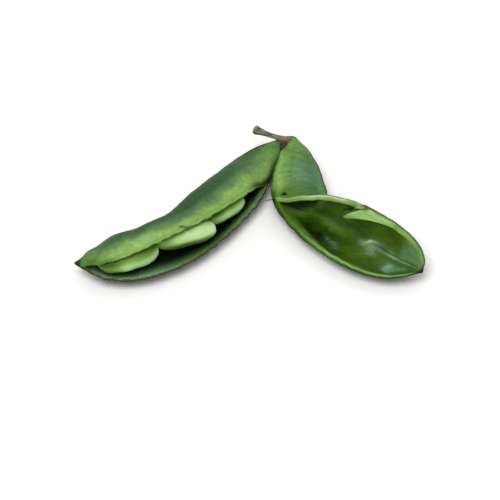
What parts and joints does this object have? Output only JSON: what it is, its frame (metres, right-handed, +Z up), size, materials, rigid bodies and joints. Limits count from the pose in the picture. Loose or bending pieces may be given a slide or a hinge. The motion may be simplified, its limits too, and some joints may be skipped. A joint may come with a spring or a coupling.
{
  "type": "lima bean pods",
  "caption": "Fresh green lima bean pods on one short stalk: one sprung open with its beans showing, the other kinked, spread like a boat beyond the kink, and empty.",
  "frame": {"origin": "on the surface that the pods lie on, under the middle of the footprint", "axes": "+X to the viewer's right, along the longest extent; +Y away from the viewer, towards the stalk; +Z up"},
  "size_m": [0.1372, 0.0824, 0.0177],
  "materials": {
    "pod_skin": "satin, finely pitted fresh green skin",
    "bean_skin": "smooth, slightly glossy pale green seed coat",
    "stalk_bark": "dry, dull brown bark"
  },
  "bodies": {
    "root": {"open_pod": "pod_skin", "kinked_pod": "pod_skin", "bean_tip": "bean_skin", "bean_middle": "bean_skin", "bean_stalk_end": "bean_skin", "stalk": "stalk_bark"}
  },
  "joints": []
}
